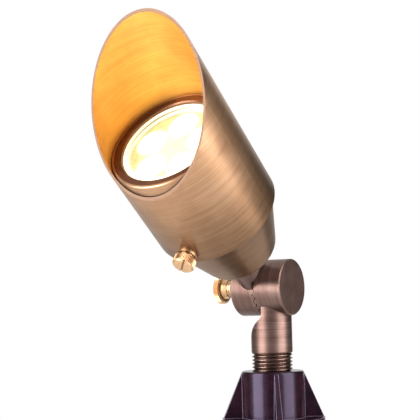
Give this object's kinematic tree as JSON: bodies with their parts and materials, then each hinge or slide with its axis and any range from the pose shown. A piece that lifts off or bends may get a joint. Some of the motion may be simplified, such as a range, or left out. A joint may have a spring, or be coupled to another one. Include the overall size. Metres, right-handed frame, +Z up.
{
  "type": "garden spike spotlight",
  "caption": "Bronze garden spotlight with an oblique sliding glare shroud, a toothed tilting knuckle with a knurled thumbscrew, and a finned plastic ground spike.",
  "frame": {"origin": "the stem's axis at the soil line, which is the underside of the stake's flange", "axes": "+Z up along the stake and stem, +X along the knuckle's axis towards the plain end of the lower knuckle, -Y the way the head leans"},
  "size_m": [0.0634, 0.1383, 0.3888],
  "materials": {
    "aged_bronze": "brushed, antique bronze patina",
    "dark_bronze": "satin, darkened",
    "bright_brass": "turned and knurled, bare",
    "black_plastic": "gloss moulded",
    "seal_rubber": "matt silicone",
    "clear_glass": "clear tempered",
    "lamp_aluminium": "satin die-cast",
    "lit_optic": "clear moulded, lit warm white",
    "board_white": "white solder mask",
    "pin_metal": "plated",
    "ceramic": "unglazed ceramic"
  },
  "bodies": {
    "stake": {"ground_stake": "black_plastic"},
    "stem": {"lower_knuckle": "aged_bronze", "stem_wire_seal": "seal_rubber", "knuckle_o_ring": "seal_rubber"},
    "head": {"upper_knuckle": "aged_bronze", "neck_gasket": "seal_rubber", "neck_lock_nut": "bright_brass", "housing": "aged_bronze", "lens_gasket": "seal_rubber", "glass_lens": "clear_glass", "lens_retaining_ring": "dark_bronze", "lamp_shell": "lamp_aluminium", "lamp_optic": "lit_optic", "lamp_board": "board_white", "lamp_leds": "lit_optic", "lamp_pins": "pin_metal", "lamp_socket": "ceramic", "socket_bracket": "pin_metal", "bracket_screws": "pin_metal", "socket_screws": "pin_metal"},
    "seal_rings": {"housing_o_rings": "seal_rubber"},
    "shroud": {"shroud": "aged_bronze", "shroud_screw_bush": "bright_brass"},
    "shroud_screw": {"shroud_thumbscrew": "bright_brass"},
    "knuckle_screw": {"knuckle_thumbscrew": "bright_brass"}
  },
  "joints": [
    {"name": "fixture_turn", "type": "hinge", "parent": "stake", "child": "stem", "pos_m": [0, 0, 0.0265], "axis": [0, 0, 1], "range_deg": [-180, 180]},
    {"name": "head_tilt", "type": "hinge", "parent": "stem", "child": "head", "pos_m": [0, 0, 0.0697], "axis": [1, 0, 0], "range_deg": [-150, 60]},
    {"name": "shroud_turn", "type": "hinge", "parent": "head", "child": "seal_rings", "pos_m": [-0.0035, -0.06902, 0.12266], "axis": [0, -0.7934, 0.6088], "continuous": true},
    {"name": "shroud_slide", "type": "slide", "parent": "seal_rings", "child": "shroud", "axis": [0, -0.7934, 0.6088], "range_m": [-0.012, 0.018]},
    {"name": "shroud_screw_turn", "type": "hinge", "parent": "shroud", "child": "shroud_screw", "pos_m": [-0.00538, -0.07504, 0.08196], "axis": [-0.0523, -0.6079, -0.7923], "range_deg": [0, 720]},
    {"name": "knuckle_screw_turn", "type": "hinge", "parent": "stem", "child": "knuckle_screw", "pos_m": [-0.028, 0, 0.0697], "axis": [-1, 0, 0], "range_deg": [0, 720]}
  ]
}
